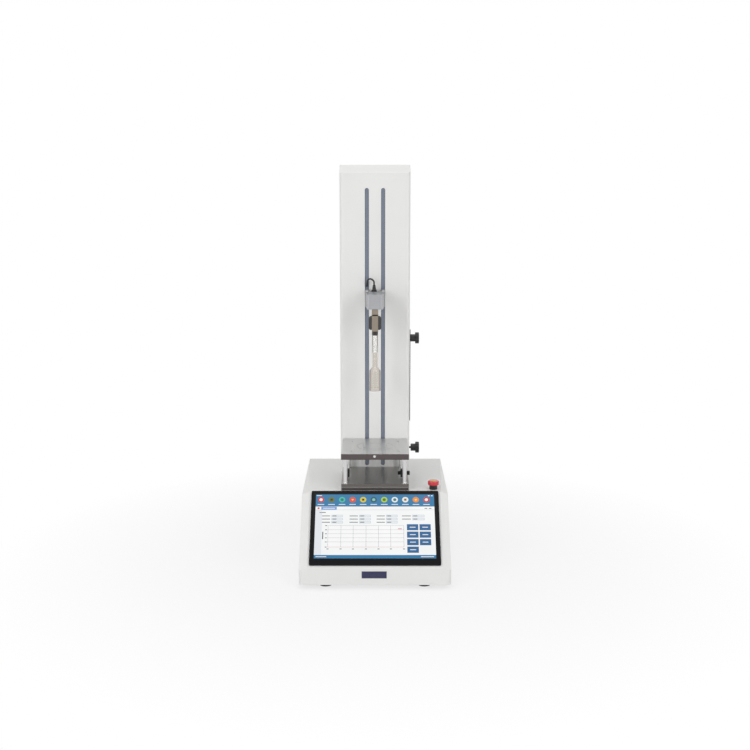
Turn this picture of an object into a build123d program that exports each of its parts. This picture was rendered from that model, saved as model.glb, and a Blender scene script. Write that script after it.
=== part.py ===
from build123d import *
from math import atan2, cos, degrees, hypot, radians, sin, tan
import os

os.makedirs("parts", exist_ok=True)

# A texture analyzer: X to the right, Y to the rear, Z up, all in millimetres.
# The origin is on the table, under the middle of the base with its rear sockets.

# Running, sliding and seating clearances
run_gap = 0.05
free_gap = 0.3
slot_gap = 1.0

# Base casing, folded from sheet
base_width = 325.0
base_depth = 451.5
base_underside = 10.0
lip_top = 49.5
deck_top = 178.0
panel_run = 137.0
deck_front_width = 296.0
lip_flat_width = 286.0
facet_drop = 8.0
base_wall = 2.5
front_corner_radius = 8.0
rear_corner_radius = 4.0
fold_radius = 3.0
rear_fold = 9.0
socket_proud = 2.0

# Chassis plate and feet
chassis_thick = 6.0
foot_radius = 15.5
foot_spacing_x = 212.0
foot_inset_front = 30.5
foot_inset_rear = 32.0
foot_round = 4.0
foot_recess_radius = 6.5
foot_recess_depth = 5.0

# Touch display on the sloped panel
bezel_width = 281.5
bezel_height = 183.5
bezel_thick = 5.0
bezel_corner = 3.0
bezel_rim = 4.0
bezel_foot_margin = 3.2
glass_thick = 2.0
glass_recess = 0.4
lcd_width = 265.0
lcd_height = 165.0
lcd_behind = 6.0
computer_width = 200.0
computer_height = 110.0
computer_thick = 20.0
fin_count = 12
fin_thick = 2.0
fin_depth = 8.0

# Emergency stop on the deck
estop_x = 131.0
estop_behind_panel = 21.0
collar_radius = 9.0
collar_height = 10.4
collar_body_radius = 8.0
collar_body_length = 24.0
plunger_radius = 4.6
cap_radius = 12.7
cap_height = 9.2
estop_travel = 4.0
contact_block_side = 20.0
contact_block_height = 18.0

# Sockets and switch in the rear wall
inlet_x = -112.0
switch_x = -62.0
ports_x = -6.0
socket_z = 70.0
socket_panel_thick = 1.5
socket_panel_margin = 8.0
socket_panel_height = 48.0
socket_panel_lap = 6.0
inlet_flange_width = 50.0
inlet_flange_height = 28.0
inlet_body_width = 28.0
inlet_body_height = 21.0
inlet_cavity_width = 24.0
inlet_cavity_height = 17.0
inlet_cavity_depth = 17.0
inlet_corner = 4.5
inlet_pin_length = 10.0
inlet_pin_spacing = 7.0
inlet_pin_rise = 2.0
inlet_pin_width = 2.0
inlet_pin_height = 4.0
switch_flange_width = 22.0
switch_flange_height = 31.0
rocker_width = 12.0
rocker_height = 18.0
rocker_depth = 10.0
rocker_tilt = 8.0
port_flange_width = 66.0
port_flange_height = 20.0
port_depth = 16.0
port_spacing = 18.0
usb_width = 13.2
usb_height = 5.8
lan_width = 12.0
lan_height = 8.6
vent_x = 104.0
vent_z = 100.0
vent_rows = 9
vent_pitch = 8.0
vent_length = 62.0
vent_slot = 3.2

# Power supply and control board on the chassis
supply_width = 98.0
supply_depth = 160.0
supply_height = 42.0
electronics_x = 106.0
electronics_y = -20.0
board_width = 92.0
board_depth = 150.0
board_thick = 1.6
standoff_height = 8.0
standoff_radius = 3.5

# Column cover
column_width = 162.0
column_depth = 130.0
column_front = 75.0
column_top = 896.0
cover_wall = 2.0
cover_corner_radius = 8.0
top_slope_height = 19.0
top_slope_depth = 22.0
cover_lip = 10.0
guide_slot_width = 9.3
guide_slot_spacing = 37.2
guide_slot_bottom = 196.0
guide_slot_top = 844.0

# Column frame, rails and drive
channel_width = 120.0
channel_flange = 25.0
channel_front = 140.0
channel_web = 8.0
channel_depth = 54.0
channel_top = 872.0
rail_width = 15.0
rail_height = 13.0
rail_bottom = 205.0
rail_top = 868.0
rail_spacing = 95.0
carriage_width = 34.0
carriage_length = 46.0
carriage_height = 24.0
carriage_rise = 4.5
screw_y = 157.0
screw_radius = 8.0
journal_radius = 6.0
screw_tail_radius = 5.0
lower_bearing_bottom = 186.0
lower_bearing_height = 24.0
upper_bearing_top = 866.0
upper_bearing_height = 16.0
coupling_radius = 13.0
coupling_length = 34.0
coupling_grip = 15.0
motor_side = 56.4
motor_height = 78.0
motor_plate_thick = 8.0
motor_shaft_radius = 4.0
motor_pilot_radius = 19.0
motor_pilot_height = 1.6

# Crosshead carriage inside the column, at rest
carriage_z = 595.0
plate_width = 120.0
plate_height = 110.0
plate_thick = 12.0
nut_radius = 14.0
nut_length = 44.0
nut_flange_radius = 22.0
nut_flange_thick = 10.0
nut_bracket_width = 54.0
nut_bracket_height = 24.0
arm_thick = 7.3
arm_bottom = 578.5
arm_top = 612.5
arm_front = 46.0
arm_foot_width = 12.0
arm_foot_thick = 6.0
flag_reach = 14.0
flag_height = 16.0
flag_thick = 3.5

# Cantilever beam, load cell and its lead
beam_front = -22.5
beam_front_width = 34.0
beam_bottom = 577.0
beam_top = 610.0
beam_tongue = 24.0
beam_round = 2.5
probe_y = -4.5
beam_screw_spacing = 20.0
beam_screw_radius = 3.0
beam_screw_head_radius = 5.0
beam_screw_head_height = 6.0
cell_thick = 14.0
cell_depth = 36.0
cell_height = 50.0
cell_slit = 3.0
cell_round = 2.0
cover_thick = 7.0
cover_height = 28.0
cover_depth = 30.0
cover_above_cell_foot = 4.0
cover_chamfer = 3.0
gland_x = -2.0
gland_y = 57.0
gland_across = 11.0
gland_base_height = 4.0
gland_top = 625.0
boot_radius = 3.0
lead_radius = 1.9
lead_socket_width = 14.0
lead_socket_depth = 9.0
lead_socket_height = 13.0

# Probe string under the load cell
stud_radius = 4.0
lock_nut_across = 12.6
lock_nut_height = 8.0
adapter_radius = 6.2
adapter_top = 517.5
adapter_bottom = 478.0
adapter_neck = 14.5
probe_shank_radius = 5.75
probe_shoulder_top = 445.0
probe_shoulder_bottom = 436.0
probe_radius = 13.0
probe_bottom = 390.5

# Test platform
lower_plate_width = 151.0
lower_plate_depth = 158.0
lower_plate_thick = 15.0
platform_to_column = 1.0
plate_groove = 1.4
post_radius = 4.5
post_front_x = 66.0
post_rear_x = 61.0
post_inset_front = 8.5
post_inset_rear = 14.0
post_height = 55.2
post_foot_radius = 6.0
post_foot_height = 3.0
upper_plate_width = 152.0
upper_plate_depth = 157.0
upper_plate_thick = 13.1
ring_radius_outer = 41.0
ring_radius_inner = 28.0
ring_width = 1.2
ring_depth = 0.8
fixture_spacing_x = 106.0
fixture_spacing_y = 100.0
fixture_hole_radius = 2.5

# Thumb wheels between the plates
wheel_radius = 10.0
wheel_thick = 3.6
wheel_inner_x = 58.0
wheel_y = -30.0
wheel_height = 11.8
wheel_stud_radius = 2.5
wheel_hub_radius = 4.3
wheel_hub_length = 6.2
wheel_knob_radius = 4.9
wheel_knob_length = 6.2
lug_thick = 6.4
lug_depth = 14.0
lug_top_margin = 7.0
wheel_teeth = 20

# Travel stops on the right side of the column
stop_y = 120.0
stop_slot_width = 6.0
upper_slot_bottom = 302.0
upper_slot_top = 510.0
lower_slot_bottom = 212.0
lower_slot_top = 276.0
upper_stop_z = 494.5
lower_stop_z = 229.6
strip_thick = 2.5
strip_width = 24.0
strip_margin = 5.0
stop_block_thick = 12.2
stop_block_depth = 20.0
stop_block_height = 24.0
stop_stud_radius = 2.5
knob_hub_radius = 8.75
knob_hub_length = 11.0
knob_disc_radius = 13.2
knob_disc_thick = 9.0
knob_scallops = 10
lower_knob_standoff = 4.5

# Small screws
cover_screw_radius = 1.5
cover_screw_head_radius = 3.0
cover_screw_head_height = 1.8
cover_screw_rows = 6

# Places worked out from the sizes
base_front = -(base_depth + socket_panel_thick + socket_proud) / 2
base_rear = base_front + base_depth
socket_face = base_rear + socket_panel_thick + socket_proud
panel_rise = deck_top - lip_top
panel_length = hypot(panel_run, panel_rise)
panel_angle = degrees(atan2(panel_rise, panel_run))
ridge_y = base_front + panel_run
chassis_top = base_underside + chassis_thick
column_rear = column_front + column_depth
cover_inside_x = column_width / 2 - cover_wall
lower_plate_top = deck_top + lower_plate_thick
upper_plate_bottom = lower_plate_top + post_height
upper_plate_top = upper_plate_bottom + upper_plate_thick
lower_plate_rear = column_front - platform_to_column
lower_plate_y = lower_plate_rear - lower_plate_depth / 2
upper_plate_y = lower_plate_y
channel_rear = channel_front + channel_depth
web_front = channel_rear - channel_web
channel_inside_x = channel_width / 2 - channel_flange
rail_front = channel_front - rail_height
carriage_front = channel_front - carriage_height
carriage_back = channel_front - carriage_rise
plate_front = carriage_front - plate_thick
arm_x = guide_slot_spacing / 2
tongue_half = arm_x - arm_thick / 2
tongue_rear = arm_front + beam_tongue
cell_bottom = beam_bottom - cell_height
estop_y = ridge_y + estop_behind_panel
motor_plate_top = lower_bearing_bottom - 44.0
motor_top = motor_plate_top - motor_plate_thick

panel = Plane(
    origin=(0, base_front, lip_top),
    x_dir=(1, 0, 0),
    z_dir=(0, -sin(radians(panel_angle)), cos(radians(panel_angle))),
)


def block(x0, x1, y0, y1, z0, z1):
    centre = Pos((x0 + x1) / 2, (y0 + y1) / 2, (z0 + z1) / 2)
    return centre * Box(x1 - x0, y1 - y0, z1 - z0)


def upright(x, y, z0, z1, radius):
    return Pos(x, y, (z0 + z1) / 2) * Cylinder(radius, z1 - z0)


def crosswise(x0, x1, y, z, radius):
    return Pos((x0 + x1) / 2, y, z) * Rot(0, 90, 0) * Cylinder(radius, x1 - x0)


def lengthwise(x, y0, y1, z, radius):
    return Pos(x, (y0 + y1) / 2, z) * Rot(90, 0, 0) * Cylinder(radius, y1 - y0)


def on_panel(shape, up, out):
    return panel.location * Pos(0, up, out) * shape


# Base casing


def base_profile(inset):
    outline = Polyline(
        (base_front, base_underside),
        (base_front, lip_top),
        (ridge_y, deck_top),
        (base_rear - rear_fold, deck_top),
        (base_rear, deck_top - rear_fold),
        (base_rear, base_underside),
        close=True,
    )
    face = make_face(outline)
    folds = face.vertices().filter_by(lambda v: v.Y > base_underside + 1)
    face = fillet(folds, fold_radius)
    if inset:
        face = offset(face, -inset, kind=Kind.INTERSECTION)
    return Plane.YZ * face


def base_plan(inset):
    middle_y = (base_front + base_rear) / 2
    plan = Pos(0, middle_y) * Rectangle(base_width - 2 * inset, base_depth - 2 * inset)
    front = plan.vertices().filter_by(lambda v: v.Y < middle_y)
    plan = fillet(front, front_corner_radius - inset)
    rear = plan.vertices().filter_by(lambda v: v.Y > middle_y + base_depth / 4)
    return fillet(rear, rear_corner_radius - inset)


def facet_planes(side, inset):
    half = side * base_width / 2
    ridge = side * deck_front_width / 2
    foot = side * lip_flat_width / 2
    rear_point = Vector(half, base_rear, deck_top)
    ridge_point = Vector(ridge, ridge_y, deck_top)
    side_point = Vector(half, ridge_y, deck_top - facet_drop)
    foot_point = Vector(foot, base_front, lip_top)
    planes = []
    for a, b in ((rear_point, ridge_point), (ridge_point, foot_point)):
        normal = (b - a).cross(side_point - a).normalized()
        if normal.X * side < 0:
            normal = -normal
        planes.append(Plane(origin=a, z_dir=normal).offset(-inset))
    return planes


def base_form(inset):
    side_view = extrude(base_profile(inset), base_width / 2 - inset, both=True)
    plan_view = extrude(base_plan(inset), deck_top)
    form = side_view & plan_view
    for side in (-1, 1):
        for plane in facet_planes(side, inset):
            form = split(form, bisect_by=plane, keep=Keep.BOTTOM)
    return form


def rear_hole(x, z, width, height):
    return block(
        x - width / 2, x + width / 2,
        base_rear - 2 * base_wall, base_rear + base_wall,
        z - height / 2, z + height / 2,
    )


def base_housing():
    shell = base_form(0) - base_form(base_wall)
    open_foot = extrude(base_plan(base_wall), 3 * base_wall)
    shell -= Pos(0, 0, base_underside - base_wall) * open_foot
    window = Box(lcd_width + 2 * slot_gap, lcd_height + 2 * slot_gap, 4 * base_wall)
    shell -= on_panel(window, screen_centre(), 0)
    shell -= upright(estop_x, estop_y, deck_top - 3 * base_wall, deck_top + 1, collar_body_radius + free_gap)
    side = channel_width / 2 + slot_gap
    shell -= block(
        -side, side, channel_front - slot_gap, channel_rear + slot_gap,
        deck_top - 3 * base_wall, deck_top + 1,
    )
    start, end = socket_panel_span()
    shell -= rear_hole(
        (start + end) / 2, socket_z,
        end - start - 2 * socket_panel_lap, socket_panel_height - 2 * socket_panel_lap,
    )
    slot = extrude(Rectangle(vent_length, vent_slot), 4 * base_wall)
    for place in GridLocations(0, vent_pitch, 1, vent_rows):
        row = Pos(vent_x, base_rear + base_wall, vent_z) * Rot(90, 0, 0) * place * slot
        shell -= row
    return shell


def chassis_plate():
    inset = base_wall + free_gap
    plate = Pos(0, 0, base_underside) * extrude(base_plan(inset), chassis_thick)
    for x, y in foot_places():
        plate -= upright(x, y, base_underside - 1, chassis_top + 1, foot_recess_radius / 2)
    return plate


def foot_places():
    front = base_front + foot_inset_front
    rear = base_rear - foot_inset_rear
    half = foot_spacing_x / 2
    return [(x, y) for y in (front, rear) for x in (-half, half)]


def rubber_feet():
    tread = foot_radius - foot_round
    profile = make_face(
        Polyline((0, base_underside), (0, 0), (tread, 0))
        + ThreePointArc(
            (tread, 0),
            (tread + foot_round * sin(radians(45)), foot_round * (1 - cos(radians(45)))),
            (foot_radius, foot_round),
        )
        + Polyline((foot_radius, foot_round), (foot_radius, base_underside), (0, base_underside))
    )
    foot = revolve(Plane.XZ * profile, Axis.Z)
    foot -= upright(0, 0, -1, foot_recess_depth, foot_recess_radius)
    foot -= upright(0, 0, 0, base_underside + 1, foot_recess_radius / 2)
    return Compound([Pos(x, y, 0) * foot for x, y in foot_places()])


# Display


def bezel_centre():
    return bezel_foot_margin + bezel_height / 2


def screen_centre():
    return bezel_centre()


def glass_size():
    return bezel_width - 2 * bezel_rim, bezel_height - 2 * bezel_rim


def display_bezel():
    outline = RectangleRounded(bezel_width, bezel_height, bezel_corner)
    frame = extrude(outline, bezel_thick)
    top_edges = frame.edges().group_by(Axis.Z)[-1]
    frame = chamfer(top_edges, 0.8)
    width, height = glass_size()
    seat = bezel_thick - glass_thick - glass_recess
    frame -= Pos(0, 0, seat) * extrude(Rectangle(width, height), bezel_thick)
    frame -= extrude(Rectangle(lcd_width + 2 * free_gap, lcd_height + 2 * free_gap), bezel_thick)
    return on_panel(frame, bezel_centre(), 0)


def display_glass():
    width, height = glass_size()
    sheet = Box(width - 2 * free_gap, height - 2 * free_gap, glass_thick)
    middle = bezel_thick - glass_recess - glass_thick / 2
    return on_panel(sheet, bezel_centre(), middle)


def lcd_module():
    top = bezel_thick - glass_recess - glass_thick
    thick = top + lcd_behind
    module = Box(lcd_width, lcd_height, thick)
    return on_panel(module, screen_centre(), top - thick / 2)


def display_computer():
    body = Box(computer_width, computer_height, computer_thick)
    pitch = computer_width / fin_count
    gap = Box(pitch - fin_thick, computer_height + 1, fin_depth)
    for i in range(fin_count):
        x = -computer_width / 2 + pitch * (i + 0.5)
        body -= Pos(x, 0, -computer_thick / 2 + fin_depth / 2 - 0.01) * gap
    return on_panel(body, screen_centre(), -lcd_behind - computer_thick / 2)


# Emergency stop


def estop_collar():
    ring = upright(estop_x, estop_y, deck_top, deck_top + collar_height, collar_radius)
    ring = chamfer(ring.edges().group_by(Axis.Z)[-1], 0.8)
    barrel = upright(estop_x, estop_y, deck_top - collar_body_length, deck_top, collar_body_radius)
    bore = upright(estop_x, estop_y, deck_top - collar_body_length - 1, column_top, plunger_radius + run_gap)
    return ring + barrel - bore


def estop_contact_block():
    top = deck_top - collar_body_length
    half = contact_block_side / 2
    body = block(
        estop_x - half, estop_x + half, estop_y - half, estop_y + half,
        top - contact_block_height, top,
    )
    return body - upright(
        estop_x, estop_y, top - estop_travel - 2, top + 1, plunger_radius + free_gap
    )


def estop_plunger():
    return upright(
        estop_x, estop_y, deck_top - collar_body_length, deck_top + collar_height + cap_height / 2,
        plunger_radius,
    )


def estop_cap():
    foot = deck_top + collar_height - free_gap
    top = foot + cap_height
    cap = upright(estop_x, estop_y, foot, top, cap_radius)
    cap = fillet(cap.edges().group_by(Axis.Z)[-1], 3.0)
    cap = fillet(cap.edges().group_by(Axis.Z)[0], 1.0)
    skirt = upright(estop_x, estop_y, foot - 1, foot + estop_travel + 2 * free_gap, collar_radius + free_gap)
    seat = upright(estop_x, estop_y, foot - 1, deck_top + collar_height + cap_height / 2, plunger_radius)
    return cap - skirt - seat


# Rear sockets and switch


def rear_flange(x, width, height):
    plate = block(
        x - width / 2, x + width / 2, socket_face - socket_proud, socket_face,
        socket_z - height / 2, socket_z + height / 2,
    )
    return chamfer(plate.edges().filter_by(Axis.Y), 1.5)


def rear_body(x, width, height, depth):
    return block(
        x - width / 2, x + width / 2, base_rear - depth, socket_face,
        socket_z - height / 2, socket_z + height / 2,
    )


def socket_panel_span():
    start = inlet_x - inlet_flange_width / 2 - socket_panel_margin
    end = ports_x + port_flange_width / 2 + socket_panel_margin
    return start, end


def socket_panel():
    start, end = socket_panel_span()
    half = socket_panel_height / 2
    plate = block(start, end, base_rear, base_rear + socket_panel_thick, socket_z - half, socket_z + half)
    bodies = (
        (inlet_x, inlet_body_width, inlet_body_height),
        (switch_x, switch_body_width(), switch_body_height()),
        (ports_x, port_body_width(), port_body_height()),
    )
    for x, width, height in bodies:
        plate -= rear_hole(x, socket_z, width + 2 * free_gap, height + 2 * free_gap)
    return plate


def mains_inlet():
    socket = rear_flange(inlet_x, inlet_flange_width, inlet_flange_height)
    socket += rear_body(inlet_x, inlet_body_width, inlet_body_height, inlet_cavity_depth + 2)
    floor = socket_face - inlet_cavity_depth
    cavity = block(
        inlet_x - inlet_cavity_width / 2, inlet_x + inlet_cavity_width / 2,
        floor, socket_face + 1,
        socket_z - inlet_cavity_height / 2, socket_z + inlet_cavity_height / 2,
    )
    top_corners = cavity.edges().filter_by(Axis.Y).group_by(Axis.Z)[-1]
    socket -= chamfer(top_corners, inlet_corner)
    for place in (-1, 0, 1):
        x = inlet_x + place * inlet_pin_spacing
        z = socket_z - inlet_pin_rise if place else socket_z + inlet_pin_rise
        socket += block(
            x - inlet_pin_width / 2, x + inlet_pin_width / 2, floor - 1, floor + inlet_pin_length,
            z - inlet_pin_height / 2, z + inlet_pin_height / 2,
        )
    return socket


def switch_body_width():
    return rocker_width + 6.0


def switch_body_height():
    return rocker_height + 7.0


def rocker_pivot_y():
    return socket_face - 2.6 - rocker_depth / 2


def switch_frame():
    frame = rear_flange(switch_x, switch_flange_width, switch_flange_height)
    frame += rear_body(switch_x, switch_body_width(), switch_body_height(), rocker_depth + 12)
    sweep_half = hypot(rocker_height / 2, rocker_depth / 2) + free_gap
    well = block(
        switch_x - rocker_width / 2 - free_gap, switch_x + rocker_width / 2 + free_gap,
        rocker_pivot_y() - rocker_depth / 2 - 3, socket_face + 1,
        socket_z - sweep_half, socket_z + sweep_half,
    )
    pin = crosswise(
        switch_x - switch_body_width() / 2, switch_x + switch_body_width() / 2,
        rocker_pivot_y(), socket_z, 1.5,
    )
    return frame - well + pin


def power_rocker():
    pivot = rocker_pivot_y()
    outer = pivot + rocker_depth / 2
    half = rocker_height / 2
    rise = half * tan(radians(rocker_tilt))
    outline = Polyline(
        (pivot - rocker_depth / 2, socket_z - half + 3),
        (outer + rise, socket_z - half),
        (outer, socket_z),
        (outer + rise, socket_z + half),
        (pivot - rocker_depth / 2, socket_z + half - 3),
        close=True,
    )
    body = extrude(Plane.YZ * make_face(outline), rocker_width / 2, both=True)
    body -= crosswise(-rocker_width, rocker_width, pivot, socket_z, 1.5 + run_gap)
    turn = Pos(switch_x, pivot, socket_z) * Rot(rocker_tilt, 0, 0) * Pos(0, -pivot, -socket_z)
    return turn * body


def port_body_width():
    return port_flange_width - 10.0


def port_body_height():
    return port_flange_height - 6.0


def data_ports():
    ports = rear_flange(ports_x, port_flange_width, port_flange_height)
    ports += rear_body(ports_x, port_body_width(), port_body_height(), port_depth + 2)
    sockets = ((-1, usb_width, usb_height), (0, usb_width, usb_height), (1, lan_width, lan_height))
    for place, width, height in sockets:
        x = ports_x + place * port_spacing
        ports -= block(
            x - width / 2, x + width / 2, socket_face - port_depth, socket_face + 1,
            socket_z - height / 2, socket_z + height / 2,
        )
    return ports


# Electronics inside the base


def power_supply():
    case = block(
        -electronics_x - supply_width / 2, -electronics_x + supply_width / 2,
        electronics_y - supply_depth / 2, electronics_y + supply_depth / 2,
        chassis_top, chassis_top + supply_height,
    )
    terminal = block(
        -electronics_x - supply_width / 2 + 6, -electronics_x + supply_width / 2 - 6,
        electronics_y + supply_depth / 2 - 16, electronics_y + supply_depth / 2 + 1,
        chassis_top + 14, chassis_top + supply_height + 1,
    )
    return case - terminal


def controller_board():
    foot = chassis_top + standoff_height
    board = block(
        electronics_x - board_width / 2, electronics_x + board_width / 2,
        electronics_y - board_depth / 2, electronics_y + board_depth / 2,
        foot, foot + board_thick,
    )
    top = foot + board_thick
    board += block(electronics_x - 34, electronics_x - 6, electronics_y - 50, electronics_y - 10, top, top + 22)
    board += block(electronics_x + 8, electronics_x + 28, electronics_y - 40, electronics_y - 20, top, top + 3)
    for i in range(3):
        board += upright(electronics_x + 22, electronics_y + 10 + 18 * i, top, top + 20, 6)
    board += block(electronics_x - 38, electronics_x - 26, electronics_y + 6, electronics_y + 60, top, top + 12)
    return board


def board_standoffs():
    pieces = []
    for x in (-board_width / 2 + 6, board_width / 2 - 6):
        for y in (-board_depth / 2 + 6, board_depth / 2 - 6):
            pieces.append(
                upright(
                    electronics_x + x, electronics_y + y, chassis_top, chassis_top + standoff_height,
                    standoff_radius,
                )
            )
    return Compound(pieces)


# Drive


def drive_motor():
    half = motor_side / 2
    body = block(-half, half, screw_y - half, screw_y + half, motor_top - motor_height, motor_top)
    body = chamfer(body.edges().filter_by(Axis.Z), 5.0)
    body += upright(0, screw_y, motor_top, motor_top + motor_pilot_height, motor_pilot_radius)
    bore_depth = motor_height / 2
    return body - upright(0, screw_y, motor_top - bore_depth, motor_plate_top, motor_shaft_radius + run_gap)


def motor_plate():
    plate = block(
        -channel_inside_x, channel_inside_x, screw_y - motor_side / 2, web_front, motor_top, motor_plate_top
    )
    return plate - upright(0, screw_y, motor_top - 1, motor_plate_top + 1, motor_pilot_radius + free_gap)


def coupling_bottom():
    return motor_plate_top + 6.0


def motor_shaft():
    return upright(
        0, screw_y, motor_top - motor_height / 2, coupling_bottom() + coupling_grip, motor_shaft_radius
    )


def shaft_coupling():
    bottom = coupling_bottom()
    top = bottom + coupling_length
    body = upright(0, screw_y, bottom, top, coupling_radius)
    body -= upright(0, screw_y, bottom - 1, bottom + coupling_grip, motor_shaft_radius)
    body -= upright(0, screw_y, top - coupling_grip, top + 1, screw_tail_radius)
    for i in range(3):
        z = bottom + coupling_length / 2 - 3 + 3 * i
        cut = upright(0, screw_y, z, z + 1.0, coupling_radius + 1)
        cut -= upright(0, screw_y, z - 1, z + 2, coupling_radius - 4)
        body -= cut
    return body


def ball_screw():
    lower_end = lower_bearing_bottom + lower_bearing_height
    upper_end = upper_bearing_top - upper_bearing_height
    thread = upright(0, screw_y, lower_end + free_gap, upper_end - free_gap, screw_radius)
    journal = upright(0, screw_y, lower_bearing_bottom, upper_bearing_top, journal_radius)
    tail_end = coupling_bottom() + coupling_length - coupling_grip
    tail = upright(0, screw_y, tail_end, lower_bearing_bottom, screw_tail_radius)
    return thread + journal + tail


def screw_bearing(bottom, height):
    body = block(-channel_inside_x, channel_inside_x, channel_front + 2, web_front, bottom, bottom + height)
    return body - upright(0, screw_y, bottom - 1, bottom + height + 1, journal_radius + run_gap)


# Column


def column_channel():
    outer = channel_width / 2
    inner = channel_inside_x
    outline = Polyline(
        (-outer, channel_front),
        (-outer, channel_rear),
        (outer, channel_rear),
        (outer, channel_front),
        (inner, channel_front),
        (inner, web_front),
        (-inner, web_front),
        (-inner, channel_front),
        close=True,
    )
    bar = extrude(make_face(outline), channel_top - chassis_top)
    return Pos(0, 0, chassis_top) * bar


def rail_profile(x):
    bar = Pos(x, channel_front - rail_height / 2) * Rectangle(rail_width, rail_height)
    for side in (-1, 1):
        bar -= Pos(x + side * rail_width / 2, channel_front - rail_height * 0.6) * Circle(2.0)
    return bar


def guide_rails():
    bars = []
    for side in (-1, 1):
        bar = extrude(rail_profile(side * rail_spacing / 2), rail_top - rail_bottom)
        bars.append(Pos(0, 0, rail_bottom) * bar)
    return Compound(bars)


def rail_carriages():
    pieces = []
    middle = (carriage_front + carriage_back) / 2
    for side in (-1, 1):
        x = side * rail_spacing / 2
        outline = Pos(x, middle) * Rectangle(carriage_width, carriage_back - carriage_front)
        way = channel_front - rail_height / 2
        outline -= Pos(x, way) * Rectangle(rail_width + 2 * free_gap, rail_height + 2 * free_gap)
        piece = extrude(outline, carriage_length)
        for end in (-1, 1):
            centre = carriage_z + end * (plate_height - carriage_length - 4) / 2
            pieces.append(Pos(0, 0, centre - carriage_length / 2) * piece)
    return Compound(pieces)


def cover_form(inset):
    front = column_front + inset
    top = column_top - inset
    slope = atan2(top_slope_height, top_slope_depth)
    slope_foot = column_top - top_slope_height + inset * tan(slope) - inset / cos(slope)
    slope_head = column_front + (top_slope_height - inset + inset / cos(slope)) / tan(slope)
    profile = Polyline(
        (front, deck_top),
        (front, slope_foot),
        (slope_head, top),
        (column_rear, top),
        (column_rear, deck_top),
        close=True,
    )
    side_view = extrude(Plane.YZ * make_face(profile), column_width / 2 - inset, both=True)
    plan = make_face(
        Polyline(
            (-column_width / 2 + inset, column_rear),
            (-column_width / 2 + inset, front),
            (column_width / 2 - inset, front),
            (column_width / 2 - inset, column_rear),
            close=True,
        )
    )
    plan = fillet(plan.vertices().filter_by(lambda v: v.Y < column_front + column_depth / 2), cover_corner_radius - inset)
    return side_view & extrude(plan, column_top)


def side_slot(z0, z1, x0, x1):
    half = stop_slot_width / 2
    slot = block(x0, x1, stop_y - half, stop_y + half, z0 + half, z1 - half)
    slot += crosswise(x0, x1, stop_y, z0 + half, half)
    slot += crosswise(x0, x1, stop_y, z1 - half, half)
    return slot


def column_front_cover():
    shell = cover_form(0) - cover_form(cover_wall)
    half = guide_slot_width / 2
    for side in (-1, 1):
        x = side * arm_x
        front = column_front - 1
        back = column_front + cover_wall + 1
        slot = block(x - half, x + half, front, back, guide_slot_bottom + half, guide_slot_top - half)
        slot += lengthwise(x, front, back, guide_slot_bottom + half, half)
        slot += lengthwise(x, front, back, guide_slot_top - half, half)
        shell -= slot
        inner = side * cover_inside_x
        lip = side * (cover_inside_x - cover_lip)
        shell += block(
            min(inner, lip), max(inner, lip),
            column_rear - 2 * cover_wall - free_gap, column_rear - cover_wall - free_gap,
            deck_top, column_top - cover_wall,
        )
    outside = column_width / 2 + 1
    shell -= side_slot(upper_slot_bottom, upper_slot_top, cover_inside_x - 1, outside)
    shell -= side_slot(lower_slot_bottom, lower_slot_top, cover_inside_x - 1, outside)
    return shell


def back_cover_span():
    return deck_top + free_gap, column_top - cover_wall - free_gap


def column_back_cover():
    bottom, top = back_cover_span()
    half = cover_inside_x - free_gap
    plate = block(-half, half, column_rear - cover_wall, column_rear, bottom, top)
    for x, z in back_screw_places():
        plate -= lengthwise(x, column_rear - 2 * cover_wall, column_rear + 1, z, cover_screw_radius + free_gap)
    return plate


def back_screw_places():
    bottom, top = back_cover_span()
    x = cover_inside_x - cover_lip / 2
    step = (top - bottom - 30) / (cover_screw_rows - 1)
    return [(side * x, bottom + 15 + step * i) for i in range(cover_screw_rows) for side in (-1, 1)]


def back_cover_screws():
    pieces = []
    for x, z in back_screw_places():
        head = lengthwise(x, column_rear, column_rear + cover_screw_head_height, z, cover_screw_head_radius)
        head = fillet(head.edges().group_by(Axis.Y)[-1], 0.9)
        shank = lengthwise(x, column_rear - cover_wall - free_gap, column_rear, z, cover_screw_radius)
        pieces.append(head + shank)
    return Compound(pieces)


# Travel stops


def stop_guide_strip():
    outside = column_width / 2
    bottom = upper_slot_bottom - strip_margin
    top = upper_slot_top + strip_margin
    strip = block(
        outside, outside + strip_thick, stop_y - strip_width / 2, stop_y + strip_width / 2, bottom, top
    )
    strip = fillet(strip.edges().filter_by(Axis.X), 3.0)
    return strip - side_slot(upper_slot_bottom, upper_slot_top, outside - 1, outside + strip_thick + 1)


def stop_block(z):
    outer = cover_inside_x - free_gap
    half_y = stop_block_depth / 2
    half_z = stop_block_height / 2
    body = block(outer - stop_block_thick, outer, stop_y - half_y, stop_y + half_y, z - half_z, z + half_z)
    body = chamfer(body.edges().filter_by(Axis.X), 1.5)
    return body - crosswise(outer - stop_block_thick - 1, outer + 1, stop_y, z, stop_stud_radius + run_gap)


def stop_knob(z, seat_x):
    hub_end = seat_x + knob_hub_length
    disc_end = hub_end + knob_disc_thick
    hub = crosswise(seat_x, hub_end, stop_y, z, knob_hub_radius)
    hub = chamfer(hub.edges().group_by(Axis.X)[0], 0.8)
    disc = crosswise(hub_end, disc_end, stop_y, z, knob_disc_radius)
    disc = fillet(disc.edges(), 1.5)
    for i in range(knob_scallops):
        angle = radians(360.0 / knob_scallops * i)
        reach = knob_disc_radius + 1.4
        disc -= crosswise(
            hub_end - 1, disc_end + 1, stop_y + reach * cos(angle), z + reach * sin(angle), 2.6
        )
    stud = crosswise(cover_inside_x - free_gap - stop_block_thick, seat_x, stop_y, z, stop_stud_radius)
    return stud + hub + disc


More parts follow.
